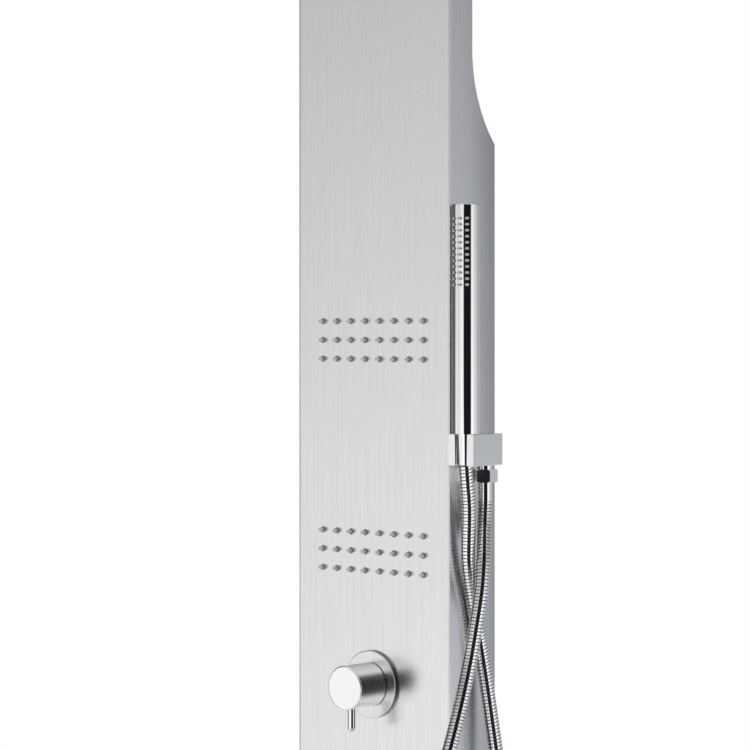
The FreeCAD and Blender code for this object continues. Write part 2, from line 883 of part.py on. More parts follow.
def make_mixer_body():
    z = mixer_z
    low = z - mixer_half_height
    high = z + mixer_half_height
    body = box(-mixer_half_width, mixer_half_width, valve_front_y, valve_back_y, low, high)
    neck = rod(mixer_neck_radius, on_axis(z, valve_front_y + past), on_axis(z, mixer_cartridge_front_y))
    outlet = port(vec(0, tube_y, high), up, spigot_radius, spigot_length)
    inlets = [port(vec(x, tube_y, low), -up, inlet_thread_radius, inlet_length)
              for x in mirrored_pairs([inlet_spread])]
    body = join(body, neck, outlet, *inlets)
    seat = rod(mixer_cartridge_radius + thread_clearance, on_axis(z, mixer_cartridge_front_y - past),
               on_axis(z, mixer_cartridge_back_y))
    water = rod(mixer_cartridge_radius - cartridge_seat_width, on_axis(z, mixer_cartridge_back_y),
                on_axis(z, tube_y + duct_radius + past))
    body = body.cut(seat).cut(water)
    body = body.cut(rod(duct_radius, vec(0, tube_y, z), vec(0, tube_y, high + spigot_length + past)))
    for x in mirrored_pairs([inlet_spread]):
        body = body.cut(rod(inlet_bore_radius, vec(x, tube_y, low + inlet_bore_rise),
                            vec(x, tube_y, low - inlet_length - past)))
        body = body.cut(rod(duct_radius, vec(x, tube_y, low + inlet_duct_rise), vec(0, tube_y, z)))
    return body


def make_mixer_dome():
    """A polished sleeve over the lock nut, closed by a ball-shaped front with a round opening."""
    z = mixer_z
    pivot = on_axis(z, pivot_y)
    inner = dome_radius - dome_wall
    sleeve = ring(dome_radius, inner, on_axis(z, escutcheon_front_y), pivot)
    shell = Part.makeSphere(dome_radius, pivot).cut(Part.makeSphere(inner, pivot))
    reach = dome_radius + past
    shell = shell.common(box(-reach, reach, pivot_y - reach, pivot_y, z - reach, z + reach))
    opening = dome_radius * math.sin(math.radians(dome_opening_angle))
    return join(sleeve, shell).cut(rod(opening, pivot, on_axis(z, pivot_y - reach)))


def make_mixer_cartridge():
    z = mixer_z
    body = rod(mixer_cartridge_radius, on_axis(z, mixer_cartridge_back_y),
               on_axis(z, mixer_cartridge_front_y))
    return body.cut(rod(carrier_radius + running_clearance, on_axis(z, carrier_back_y + running_clearance),
                        on_axis(z, mixer_cartridge_front_y - past)))


def make_mixer_carrier():
    """The part of the cartridge that turns: a slotted bush that holds the pivot pin."""
    z = mixer_z
    bush = rod(carrier_radius, on_axis(z, carrier_back_y), on_axis(z, carrier_front_y))
    half_slot = stem_radius + 3 * running_clearance
    slot = box(-half_slot, half_slot, carrier_front_y - past, carrier_front_y + carrier_slot_depth,
               z - carrier_radius - past, z + carrier_radius + past)
    pin = rod(pivot_pin_radius, vec(-carrier_radius - past, pivot_y, z),
              vec(carrier_radius + past, pivot_y, z))
    return bush.cut(slot).cut(pin)


def make_carrier_pin():
    half = carrier_radius - pivot_pin_inset
    return rod(pivot_pin_radius, vec(-half, pivot_y, mixer_z), vec(half, pivot_y, mixer_z))


def make_mixer_stem():
    z = mixer_z
    stem = rod(stem_radius, on_axis(z, pivot_y + stem_behind), on_axis(z, stem_front_y))
    hole = rod(pivot_pin_radius + running_clearance, vec(-stem_radius - past, pivot_y, z),
               vec(stem_radius + past, pivot_y, z))
    return stem.cut(hole)


def make_mixer_lever():
    """A round handle hollowed to clear the ball-shaped dome, with a lever rod below."""
    z = mixer_z
    handle = rod(handle_radius, on_axis(z, handle_back_y), on_axis(z, handle_front_y))
    handle = handle.makeFillet(handle_edge, front_rim(handle, handle_front_y))
    reach = lever_reach - lever_radius
    lever = rod(lever_radius, vec(0, lever_y, z - handle_radius + lever_root), vec(0, lever_y, z - reach))
    ball = Part.makeSphere(lever_radius, vec(0, lever_y, z - reach))
    handle = join(handle, lever, ball)
    hollow = Part.makeSphere(handle_inner, on_axis(z, pivot_y))
    bore = rod(stem_radius + thread_clearance / 2, on_axis(z, pivot_y),
               on_axis(z, stem_front_y - thread_clearance))
    return handle.cut(hollow).cut(bore).cut(grub_hole(lever_grub_y, z, handle_radius))


# ---------------------------------------------------------------- feed tubes


def bent_path(points, bends):
    """Straight runs joined by tangent arcs, one bend radius for each inner point."""
    edges = []
    start = points[0]
    for before, corner, after, radius in zip(points, points[1:], points[2:], bends):
        arriving = (corner - before).normalize()
        leaving = (after - corner).normalize()
        turn = arriving.getAngle(leaving)
        back = radius * math.tan(turn / 2)
        arc_start = corner - arriving * back
        arc_end = corner + leaving * back
        inward = (leaving - arriving).normalize()
        centre = corner + inward * (radius / math.cos(turn / 2))
        middle = centre - inward * radius
        if (arc_start - start).Length > hair:
            edges.append(Part.LineSegment(start, arc_start).toShape())
        edges.append(Part.Arc(arc_start, middle, arc_end).toShape())
        start = arc_end
    edges.append(Part.LineSegment(start, points[-1]).toShape())
    return Part.Wire(edges)


def swept(path, radius):
    """A round bar carried along a path of lines and tangent arcs."""
    first = path.Edges[0]
    start = first.valueAt(first.FirstParameter)
    along = first.tangentAt(first.FirstParameter)
    circle = Part.Wire(Part.makeCircle(radius, start, along))
    return path.makePipeShell([circle], True, False)


def make_feed(points, bends):
    """A bent copper tube."""
    path = bent_path(points, bends)
    return swept(path, tube_radius).cut(swept(path, tube_radius - tube_wall))


def port_end(name):
    start, along = diverter_ports()[name]
    return start + along * spigot_length


def manifold_port(x, centre_z):
    return vec(x, manifold_back_y + manifold_spigot_length, centre_z)


nipple_inner_x = inner_half - nipple_reach
handset_feed_x = nipple_inner_x - tube_bend - handset_feed_run
neck_tube_y = (front_y - neck_depth) / 2


def feed_points():
    """Each tube's corner points, from its valve to what it feeds, with its bend radii."""
    mixer_out = vec(0, tube_y, mixer_z + mixer_half_height + spigot_length)
    rain_start = port_end("rain")
    upper_start = port_end("upper")
    lower_start = port_end("lower")
    handset_start = port_end("handset")
    rain = [
        rain_start,
        vec(rain_feed_x, tube_y, neck_shift_z),
        vec(rain_feed_x, neck_tube_y, neck_shift_z + neck_shift_height),
        vec(rain_feed_x, neck_tube_y, nose_z),
        vec(rain_feed_x, chamber_spigot_y, nose_z),
    ]
    upper = [upper_start, vec(port_spread, tube_y, upper_jets_z), manifold_port(port_spread, upper_jets_z)]
    lower = [
        lower_start,
        vec(lower_feed_x, tube_y, diverter_z),
        vec(lower_feed_x, tube_y, lower_jets_z),
        manifold_port(lower_feed_x, lower_jets_z),
    ]
    handset = [
        handset_start,
        vec(handset_feed_x, tube_y, diverter_z),
        vec(handset_feed_x, elbow_y, outlet_z),
        vec(nipple_inner_x, elbow_y, outlet_z),
    ]
    return {
        "feed_tube_main": ([mixer_out, port_end("inlet")], []),
        "feed_tube_rain": (rain, [neck_tube_bend, neck_tube_bend, bend_radius + nose_radius]),
        "feed_tube_upper_jets": (upper, [tube_bend]),
        "feed_tube_lower_jets": (lower, [tube_bend, tube_bend]),
        "feed_tube_handset": (handset, [tube_bend, tube_bend]),
    }


def compression_nut(joint, along):
    """A hexagon nut over a spigot's end and the tube that meets it; along points up the tube."""
    nut = hexagon(nut_flats, vec(0, 0, 0), vec(0, 0, nut_length))
    nut = nut.cut(rod(spigot_radius + thread_clearance, vec(0, 0, -past),
                      vec(0, 0, nut_length - nut_overlap)))
    nut = nut.cut(rod(tube_radius + thread_clearance, vec(0, 0, 0), vec(0, 0, nut_length + past)))
    return turned(nut, joint - along * (nut_length - nut_overlap), along)


def make_compression_nuts():
    nuts = []
    for start, along in diverter_ports().values():
        nuts.append(compression_nut(start + along * spigot_length, along))
    nuts.append(compression_nut(vec(0, tube_y, mixer_z + mixer_half_height + spigot_length), up))
    nuts.append(compression_nut(vec(rain_feed_x, chamber_spigot_y, nose_z), vec(0, 1, 0)))
    return nuts


# ---------------------------------------------------------------- holder, handset and hose

def on_outlet(z):
    return vec(axis_x, outlet_y, z)


def make_holder_block():
    """The chromed block: a tapered bore that is open in front, and a pocket for the elbow."""
    block = box(block_x0, block_x1, block_front_y, block_back_y, block_base_z, block_top_z)
    eased = [edge for edge in block.Edges if not on_edge(edge, block_x0)]
    block = block.makeFillet(block_edge, eased)
    bore = cone(cone_bore_bottom, cone_bore_top, vec(axis_x, handset_axis_y, block_base_z),
                vec(axis_x, handset_axis_y, block_top_z))
    pocket = box(block_x0 - past, block_x0 + pocket_depth, pocket_front_y, pocket_back_y,
                 block_base_z + pocket_wall, block_top_z - pocket_wall)
    tail_hole = rod(tail_top_radius + thread_clearance, on_outlet(block_base_z + pocket_wall + past),
                    on_outlet(block_base_z - past))
    return block.cut(bore).cut(pocket).cut(tail_hole)


def make_outlet_elbow():
    """The brass elbow inside the block, which turns the water down into the tail."""
    body = box(block_x0, block_x0 + pocket_depth - pocket_fit, pocket_front_y + pocket_fit,
               pocket_back_y - pocket_fit, block_base_z + pocket_wall, block_top_z - pocket_wall - pocket_fit)
    inlet = across_cheek(spigot_radius + thread_clearance, 0, 0, block_x0 - past,
                         block_x0 + nipple_reach + thread_clearance)
    across = across_cheek(tail_bore_radius, 0, 0, block_x0, axis_x)
    down = rod(tail_bore_radius, on_outlet(outlet_z), on_outlet(block_base_z))
    tail_hole = rod(tail_top_radius + thread_clearance, on_outlet(tail_top_z), on_outlet(block_base_z))
    for hole in [inlet, across, down, tail_hole]:
        body = body.cut(hole)
    screw_end = flange_x + block_screw_length + block_screw_room
    for hole in block_screw_holes(block_x0 - past, screw_end):
        body = body.cut(hole)
    return body


def make_outlet_tail():
    """A turned tail, screwed up into the elbow, with the thread that the hose's nut takes."""
    top = rod(tail_top_radius, on_outlet(tail_top_z), on_outlet(block_base_z))
    neck = rod(block_neck_radius, on_outlet(block_base_z), on_outlet(outlet_nut_top_z))
    thread = rod(block_thread_radius, on_outlet(outlet_nut_top_z), on_outlet(outlet_washer_top_z))
    return join(top, neck, thread).cut(rod(tail_bore_radius, on_outlet(tail_top_z + past),
                                           on_outlet(outlet_washer_top_z - past)))


def make_block_screws():
    seats = [vec(flange_x, elbow_y - block_screw_shift, outlet_z + rise)
             for rise in (-block_screw_rise, block_screw_rise)]
    return [pan_screw(block_screw_radius, block_screw_head, block_screw_length, seat, right)
            for seat in seats]


def make_outlet_nipple():
    """A flanged tube that brings the water through the cheek into the elbow."""
    flange = across_cheek(nipple_flange_radius, 0, 0, flange_x, inner_half)
    stub = across_cheek(spigot_radius, 0, 0, nipple_inner_x, block_x0 + nipple_reach)
    body = join(flange, stub)
    body = body.cut(across_cheek(duct_radius, 0, 0, nipple_inner_x - past, block_x0 + nipple_reach + past))
    for hole in block_screw_holes(flange_x - past, inner_half + past):
        body = body.cut(hole)
    return body


def make_handset_nozzle_shape(extra, inner, outer, azimuth, z):
    """An oval bar that stands radially out of the handset."""
    ellipse = Part.Ellipse(vec(0, 0, 0), nozzle_half_width + extra, nozzle_half_height + extra)
    face = Part.Face(Part.Wire(ellipse.toShape()))
    bar = face.extrude(vec(0, 0, outer - inner))
    bar.Placement = FreeCAD.Placement(vec(0, -inner, 0), FreeCAD.Rotation(right, 90))
    bar.rotate(vec(0, 0, 0), up, azimuth)
    bar.translate(vec(axis_x, handset_axis_y, z))
    return bar


handset_base_z = block_top_z + handset_rest_gap
handset_top_z = handset_base_z + handset_length
handset_bore = handset_radius - handset_wall
core_radius = handset_bore - handset_fit
plug_top_z = handset_base_z + handset_plug_length


def on_handset(z):
    return vec(axis_x, handset_axis_y, z)


def nozzle_places():
    places = []
    for row in range(nozzle_rows):
        for column in range(nozzle_columns):
            azimuth = (column - (nozzle_columns - 1) / 2) * nozzle_step_angle
            places.append((azimuth, nozzle_top_z - row * nozzle_pitch))
    return places


def make_handset_tube():
    top = handset_top_z - handset_cap_thickness
    tube = ring(handset_radius, handset_bore, on_handset(handset_base_z), on_handset(top))
    holes = [make_handset_nozzle_shape(handset_fit, handset_bore - past, handset_radius + past, azimuth, z)
             for azimuth, z in nozzle_places()]
    return tube.cut(Part.makeCompound(holes))


def make_handset_cap():
    top = handset_top_z
    disc = rod(handset_radius, on_handset(top - handset_cap_thickness), on_handset(top))
    rim = [edge for edge in disc.Edges if edge.Closed and abs(edge.BoundBox.ZMin - top) < hair]
    disc = disc.makeFillet(handset_cap_edge, rim)
    plug = rod(core_radius, on_handset(top - handset_cap_thickness - cap_plug_length), on_handset(top - past))
    return join(disc, plug)


def make_handset_core():
    """The plastic waterway inside the tube, with a window for each nozzle."""
    top = handset_top_z - handset_cap_thickness - cap_plug_length
    inner = core_radius - handset_core_wall
    body = ring(core_radius, inner, on_handset(plug_top_z), on_handset(top))
    windows = [make_handset_nozzle_shape(handset_fit, inner - past, core_radius + past, azimuth, z)
               for azimuth, z in nozzle_places()]
    return body.cut(Part.makeCompound(windows))


def make_handset_nozzles():
    """Oval rubber nozzles on a thin curved strip inside the waterway."""
    strip_outer = core_radius - handset_core_wall
    strip_inner = strip_outer - nozzle_strip
    nozzle_end = handset_radius + nozzle_proud
    half_height = nozzle_pitch / 2 + nozzle_half_height
    base = nozzle_top_z - (nozzle_rows - 1) * nozzle_pitch
    sleeve = ring(strip_outer, strip_inner, on_handset(base - half_height),
                  on_handset(nozzle_top_z + half_height))
    bars = [make_handset_nozzle_shape(0, strip_outer - nozzle_strip / 2, nozzle_end, azimuth, z)
            for azimuth, z in nozzle_places()]
    bores = []
    for azimuth, z in nozzle_places():
        outward = FreeCAD.Rotation(up, azimuth).multVec(front)
        bores.append(rod(nozzle_bore_radius, on_handset(z), on_handset(z) + outward * (nozzle_end + past)))
    return join(sleeve, *bars).cut(Part.makeCompound(bores))


def make_handset_spigot():
    """The threaded end that screws into the hose's swivel nut."""
    plug = rod(core_radius, on_handset(handset_base_z), on_handset(plug_top_z))
    spigot = rod(handset_spigot_radius, on_handset(handset_base_z - handset_spigot_length),
                 on_handset(handset_base_z + past))
    return join(plug, spigot).cut(rod(washer_bore, on_handset(handset_base_z - handset_spigot_length - past),
                                      on_handset(plug_top_z + past)))


nut_top_z = handset_base_z - handset_rest_gap
nut_base_z = nut_top_z - swivel_nut_length
washer_top_z = handset_base_z - handset_spigot_length - handset_rest_gap


def make_swivel_nut():
    nut = cone(swivel_nut_bottom, swivel_nut_top, on_handset(nut_base_z), on_handset(nut_top_z))
    socket = rod(handset_spigot_radius + thread_clearance * 2, on_handset(washer_top_z - washer_thickness),
                 on_handset(nut_top_z + past))
    return nut.cut(socket).cut(rod(washer_bore, on_handset(nut_base_z - past), on_handset(nut_top_z)))


def make_swivel_washer():
    return ring(handset_spigot_radius, washer_bore, on_handset(washer_top_z - washer_thickness),
                on_handset(washer_top_z))


def make_outlet_nut():
    """The hexagon nut under the block, its corners eased at both ends."""
    nut = hexagon(outlet_nut_flats, on_outlet(outlet_nut_base_z), on_outlet(outlet_nut_top_z),
                  outlet_nut_turn)
    corner = outlet_nut_flats / 2 / math.cos(math.radians(30))
    ease = outlet_nut_chamfer
    middle = rod(corner, on_outlet(outlet_nut_base_z + ease), on_outlet(outlet_nut_top_z - ease))
    low = cone(corner - ease, corner, on_outlet(outlet_nut_base_z), on_outlet(outlet_nut_base_z + ease))
    high = cone(corner, corner - ease, on_outlet(outlet_nut_top_z - ease), on_outlet(outlet_nut_top_z))
    nut = nut.common(join(middle, low, high))
    socket = rod(block_thread_radius + thread_clearance, on_outlet(outlet_washer_top_z - washer_thickness),
                 on_outlet(outlet_nut_top_z + past))
    bore = rod(washer_bore, on_outlet(outlet_nut_base_z - past), on_outlet(outlet_nut_top_z))
    return nut.cut(socket).cut(bore)


def make_outlet_washer():
    return ring(block_thread_radius, washer_bore, on_outlet(outlet_washer_top_z - washer_thickness),
                on_outlet(outlet_washer_top_z))


def make_hose_ferrule():
    return ring(ferrule_radius, washer_bore, on_outlet(ferrule_base_z), on_outlet(outlet_nut_base_z))


# The hose hangs from the swivel nut, crosses its own other leg, and comes back to the ferrule.
# It is a list of places: how far out from the handset's axis, then y and z.
hose_route = [
    (-0.8, -57.9, 33.0),
    (-3.1, -52.6, 5.0),
    (-6.3, -51.3, -26.0),
    (-7.7, -43.1, -60.0),
    (-7.6, -33.6, -94.0),
    (-5.7, -25.7, -133.0),
    (-1.3, -22.0, -184.0),
    (5.5, -14.2, -257.0),
    (13.5, -10.5, -350.0),
    (19.5, -10.2, -456.0),
    (22.1, -14.0, -550.0),
    (21.5, -34.0, -604.0),
    (19.1, -68.0, -633.0),
    (15.9, -112.0, -641.0),
    (12.7, -154.0, -624.0),
    (9.9, -181.5, -581.0),
    (7.1, -186.0, -496.0),
    (4.0, -169.0, -400.0),
    (1.3, -140.0, -316.0),
    (0.3, -107.0, -240.0),
    (1.0, -78.8, -175.0),
    (3.3, -63.1, -126.0),
    (6.9, -56.9, -86.0),
    (9.0, -51.0, -53.0),
    (7.8, -44.7, -24.0),
    (3.7, -39.4, -1.0),
]


def hose_points():
    """The route's corners, with a short straight run at each end."""
    free = [vec(axis_x + out, y, z) for out, y, z in hose_route]
    start = [on_handset(nut_base_z), on_handset(nut_base_z - hose_first_run)]
    end = [on_outlet(ferrule_base_z - hose_last_run), on_outlet(ferrule_base_z)]
    return start + free + end


def hose_bends(points):
    """Each corner's arc is as large as its two runs allow."""
    radii = []
    for before, corner, after in zip(points, points[1:], points[2:]):
        run = min((corner - before).Length, (after - corner).Length)
        turn = (corner - before).getAngle(after - corner)
        radii.append(hose_arc_share * run / math.tan(turn / 2))
    return radii


def make_hose():
    points = hose_points()
    radii = hose_bends(points)
    path = bent_path(points, radii)
    hose = swept(path, hose_radius)
    print("hose length", round(path.Length, 1), "radii", [round(radius) for radius in radii])
    print("hose volume over section times length", hose.Volume / (math.pi * hose_radius ** 2 * path.Length))
    return hose


def main():
    os.makedirs("parts", exist_ok=True)

    save("front_fascia", make_fascia())
    save("left_cheek", make_cheek(-1))
    save("right_cheek", make_cheek(1))
    save("back_cover", make_back_cover())
    save("bottom_plate", make_bottom_plate())

    for place, z in (("upper", bracket_spacing / 2), ("lower", -bracket_spacing / 2)):
        save("wall_bracket_" + place, make_wall_bracket(z))
        save("hanger_bar_" + place, make_hanger_bar(z))

    for place, z, spigot_x in (("upper", upper_jets_z, port_spread), ("lower", lower_jets_z, lower_feed_x)):
        save("jet_mat_" + place, make_jet_mat(z))
        save("jet_manifold_" + place, make_manifold(z, spigot_x))
    save("jet_manifold_screws", *make_manifold_screws())

    save("rain_plate", make_rain_plate())
    save("rain_mat", make_rain_mat())
    save("rain_chamber", make_rain_chamber())
    save("rain_chamber_screws", *make_rain_screws())

    save("diverter_body", make_diverter_body())
    save("diverter_gasket", make_gasket(diverter_z, diverter_neck_radius, diverter_half_height))
    save("diverter_escutcheon", make_escutcheon(diverter_z, diverter_neck_radius))
    save("diverter_lock_nut", make_lock_nut(diverter_z, diverter_neck_radius, diverter_nut_radius,
                                            lock_nut_length))
    save("diverter_cartridge", make_diverter_cartridge())
    save("diverter_spindle", make_diverter_spindle())
    save("diverter_knob", make_diverter_knob())
    save("diverter_grub_screw", grub_screw(knob_grub_y, diverter_z))

    save("mixer_body", make_mixer_body())
    save("mixer_gasket", make_gasket(mixer_z, mixer_neck_radius, mixer_half_height))
    save("mixer_escutcheon", make_escutcheon(mixer_z, mixer_neck_radius))
    save("mixer_lock_nut", make_lock_nut(mixer_z, mixer_neck_radius, mixer_nut_radius, mixer_nut_length))
    save("mixer_dome", make_mixer_dome())
    save("mixer_cartridge", make_mixer_cartridge())
    save("mixer_carrier", make_mixer_carrier())
    save("mixer_pivot_pin", make_carrier_pin())
    save("mixer_stem", make_mixer_stem())
    save("mixer_lever", make_mixer_lever())
    save("mixer_grub_screw", grub_screw(lever_grub_y, mixer_z))

    for name, (points, bends) in feed_points().items():
        save(name, make_feed(points, bends))
    save("compression_nuts", *make_compression_nuts())

    save("outlet_nipple", make_outlet_nipple())
    save("holder_block", make_holder_block())
    save("outlet_elbow", make_outlet_elbow())
    save("outlet_tail", make_outlet_tail())
    save("holder_screws", *make_block_screws())

    save("handset_tube", make_handset_tube())
    save("handset_cap", make_handset_cap())
    save("handset_core", make_handset_core())
    save("handset_nozzles", make_handset_nozzles())
    save("handset_spigot", make_handset_spigot())

    save("swivel_nut", make_swivel_nut())
    save("swivel_washer", make_swivel_washer())
    save("outlet_nut", make_outlet_nut())
    save("outlet_washer", make_outlet_washer())
    save("hose_ferrule", make_hose_ferrule())

    save("hose", make_hose())


main()
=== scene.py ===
import math

import bmesh
import bpy
import numpy as np
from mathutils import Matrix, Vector


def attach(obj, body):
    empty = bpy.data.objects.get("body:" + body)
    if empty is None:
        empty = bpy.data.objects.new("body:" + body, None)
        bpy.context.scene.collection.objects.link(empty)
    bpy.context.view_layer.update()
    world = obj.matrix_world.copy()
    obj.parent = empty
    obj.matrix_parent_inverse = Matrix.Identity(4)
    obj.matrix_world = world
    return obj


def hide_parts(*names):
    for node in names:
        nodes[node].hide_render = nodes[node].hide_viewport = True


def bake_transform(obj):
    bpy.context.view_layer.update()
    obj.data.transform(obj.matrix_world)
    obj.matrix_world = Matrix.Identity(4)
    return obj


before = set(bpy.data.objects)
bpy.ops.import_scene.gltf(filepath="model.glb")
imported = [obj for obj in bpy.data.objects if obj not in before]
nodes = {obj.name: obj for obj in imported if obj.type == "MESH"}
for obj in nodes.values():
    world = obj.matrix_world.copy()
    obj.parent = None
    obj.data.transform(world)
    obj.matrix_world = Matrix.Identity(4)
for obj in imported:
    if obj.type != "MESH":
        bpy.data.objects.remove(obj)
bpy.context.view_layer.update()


# ---------------------------------------------------------------- studio
# The column is seen from its right, with the camera level at the height of the upper jets. The room is a
# white studio: a broad white screen in front, dark flags beside it that give polished metal its black bands,
# and a pale floor.

view_turn = math.radians(41.19)
camera_place = (1.6727, -1.9775, 0.200)
sensor_width = 36.0
focal_length = 122.064
frame_drop = -0.05665
sight_length = 100.0

camera = bpy.data.objects.new("camera", bpy.data.cameras.new("camera"))
camera.data.sensor_width = sensor_width
camera.data.lens = focal_length
camera.data.shift_y = frame_drop
camera.data.clip_end = sight_length
camera.location = camera_place
camera.rotation_euler = (math.pi / 2, 0, view_turn)
bpy.context.scene.collection.objects.link(camera)
bpy.context.scene.camera = camera
bpy.context.scene.view_settings.view_transform = "Standard"


def add(tree, kind, inputs=(), **settings):
    """Adds a shader node of that kind, with its settings, and returns its outputs.

    An input is given by name or number, as a value, a colour or the output that is linked to it.
    """
    node = tree.nodes.new(kind)
    for name, value in settings.items():
        setattr(node, name, value)
    for name, value in dict(inputs).items():
        socket = node.inputs[name]
        if isinstance(value, bpy.types.NodeSocket):
            tree.links.new(value, socket)
        elif socket.type == "RGBA":
            socket.default_value = (*value, 1)
        else:
            socket.default_value = value
    return node.outputs


def colour_ramp(tree, share, stops):
    """A ramp's colour at that share, from pairs of place and colour, the first at 0 and the last at 1."""
    node = tree.nodes.new("ShaderNodeValToRGB")
    marks = node.color_ramp.elements
    for place, colour in stops[1:-1]:
        marks.new(place).color = (*colour, 1)
    marks[0].color = (*stops[0][1], 1)
    marks[-1].color = (*stops[-1][1], 1)
    tree.links.new(share, node.inputs[0])
    return node.outputs["Color"]


def mixed(tree, share, first, second, **settings):
    """The second colour mixed into the first by that share."""
    colours = {"Factor": share, 6: first, 7: second}
    return add(tree, "ShaderNodeMix", colours, data_type="RGBA", **settings)[2]


def parts_of(tree, place):
    """The x, y and z of a place or a direction."""
    return list(add(tree, "ShaderNodeSeparateXYZ", {0: place}))


def angle_round(tree, x, y):
    """The angle round an upright axis, the arc tangent of x over -y: 0 in front and a quarter turn right."""
    ahead = add(tree, "ShaderNodeMath", {0: y, 1: -1.0}, operation="MULTIPLY")[0]
    return add(tree, "ShaderNodeMath", {0: x, 1: ahead}, operation="ARCTAN2")[0]


def grey(level, cool=0.0):
    """A grey, with a share less red and twice that more blue where it is cool."""
    return (level * (1 - cool), level, level * (1 + 2 * cool))


# A point of a band is an angle in degrees, 0 in front of the column and 90 to its right, with the grey level
# there and how cool it is.
room_left = [(-180, 0.40, 0.028), (-165, 0.40, 0.028), (-150, 0.48, 0.028)]
screen_left = [(-146, 0.85, 0), (-98, 0.85, 0)]
flag_left = [(-94, 0.125, 0), (-53, 0.125, 0)]
screen_front = [(-49, 0.90, 0), (-30, 0.75, 0), (-15, 0.76, 0), (2, 0.94, 0), (11, 1.0, 0), (21, 1.0, 0)]
flag_right = [(24, 0.01, 0), (80, 0.01, 0)]
screen_right = [(83, 1.0, 0.01), (102, 1.0, 0.01)]
room_right = [(106, 0.64, 0.014), (118, 0.76, 0.02), (124, 0.72, 0.02), (136, 0.45, 0.028),
              (155, 0.46, 0.028), (180, 0.40, 0.028)]
room_bands = room_left + screen_left + flag_left + screen_front + flag_right + screen_right + room_right

# The direction's height, from -1 straight down to 1 straight up, with the light's level there, and with the
# share by which the bands have faded into the even room above and below the screens.
light_by_height = [(-1, 0.8), (-0.3, 1.0), (-0.1, 1.0), (0.3, 0.38), (0.6, 0.75), (1, 0.9)]
fade_by_height = [(-1, 0.85), (-0.62, 0.85), (-0.40, 0.0), (0.60, 0.0), (0.80, 0.85), (1, 0.85)]
even_level = 0.7
room_strength = 1.21


def studio_world():
    """Light by direction: the bands by the angle round the column, times the light by the height.

    A ramp runs from 0 to 1, so a full turn from -pi to pi and a height from -1 to 1 are brought to that. The
    camera itself sees plain white.
    """
    world = bpy.data.worlds.new("studio")
    world.use_nodes = True
    tree = world.node_tree
    tree.nodes.clear()
    x, y, z = parts_of(tree, add(tree, "ShaderNodeTexCoord")["Generated"])
    angle = angle_round(tree, x, y)
    turn = add(tree, "ShaderNodeMath", {0: angle, 1: 0.5 / math.pi, 2: 0.5}, operation="MULTIPLY_ADD")[0]
    rise = add(tree, "ShaderNodeMath", {0: z, 1: 0.5, 2: 0.5}, operation="MULTIPLY_ADD")[0]
    bands = colour_ramp(tree, turn, [((degrees + 180) / 360, grey(level, cool))
                                     for degrees, level, cool in room_bands])
    light = colour_ramp(tree, rise, [((height + 1) / 2, grey(level)) for height, level in light_by_height])
    fade = colour_ramp(tree, rise, [((height + 1) / 2, grey(share)) for height, share in fade_by_height])
    room = mixed(tree, fade, bands, grey(even_level))
    lit = mixed(tree, 1.0, room, light, blend_type="MULTIPLY")
    around = add(tree, "ShaderNodeBackground", {"Color": lit, "Strength": room_strength})[0]
    plain = add(tree, "ShaderNodeBackground", {"Color": (1, 1, 1)})[0]
    to_camera = add(tree, "ShaderNodeLightPath")["Is Camera Ray"]
    shown = add(tree, "ShaderNodeMixShader", {0: to_camera, 1: around, 2: plain})[0]
    add(tree, "ShaderNodeOutputWorld", {"Surface": shown})
    bpy.context.scene.world = world


studio_world()

floor_centre = (0.0, -0.2, -0.95)
floor_radius = 2.6
floor_sides = 96
floor_colour = (0.9, 0.9, 0.9)
floor_roughness = 0.8


def disc(name, centre, radius, sides):
    """A flat round mesh: a ring of points at equal angles, closed by a single face.

    A point is the centre plus the radius times its angle's cosine along x and its sine along y.
    """
    angles = np.linspace(0, 2 * math.pi, sides, endpoint=False)
    ring = np.column_stack((radius * np.cos(angles), radius * np.sin(angles), np.zeros(sides)))
    mesh = bpy.data.meshes.new(name)
    mesh.from_pydata((ring + np.array(centre)).tolist(), [], [list(range(sides))])
    piece = bpy.data.objects.new(name, mesh)
    bpy.context.scene.collection.objects.link(piece)
    return piece


def surface(name, colour, metallic, roughness):
    """A material with these values on its shader. Returns the material, its node tree and its shader."""
    made = bpy.data.materials.new(name)
    made.use_nodes = True
    tree = made.node_tree
    shader = tree.nodes["Principled BSDF"]
    shader.inputs["Base Color"].default_value = (*colour, 1)
    shader.inputs["Metallic"].default_value = metallic
    shader.inputs["Roughness"].default_value = roughness
    return made, tree, shader


# The floor takes the column's shadow, and no metal mirrors it.
pale_floor, floor_tree, floor_shader = surface("pale_floor", floor_colour, 0.0, floor_roughness)
to_metal = add(floor_tree, "ShaderNodeLightPath")["Is Glossy Ray"]
unseen = add(floor_tree, "ShaderNodeBsdfTransparent")[0]
floor_shown = add(floor_tree, "ShaderNodeMixShader", {0: to_metal, 1: floor_shader.outputs[0], 2: unseen})[0]
floor_tree.links.new(floor_shown, floor_tree.nodes["Material Output"].inputs["Surface"])
floor = disc("floor", floor_centre, floor_radius, floor_sides)
floor.data.materials.append(pale_floor)

lamp_target = (0.0, 0.0, 0.1)


def soft_lamp(name, place, width, power):
    """A broad square lamp for what is matt. It stays out of the metal, which mirrors the room alone."""
    lamp = bpy.data.objects.new(name, bpy.data.lights.new(name, "AREA"))
    lamp.data.size = width
    lamp.data.energy = power
    lamp.location = place
    aim = Vector(lamp_target) - Vector(place)
    lamp.rotation_euler = aim.to_track_quat("-Z", "Y").to_euler()
    lamp.visible_glossy = False
    lamp.visible_camera = False
    bpy.context.scene.collection.objects.link(lamp)


soft_lamp("front_lamp", place=(-0.7, -2.9, -0.5), width=1.8, power=34.0)
soft_lamp("side_lamp", place=(2.6, -1.0, 0.9), width=1.6, power=22.0)
soft_lamp("back_lamp", place=(-1.4, 2.4, 1.0), width=1.8, power=24.0)


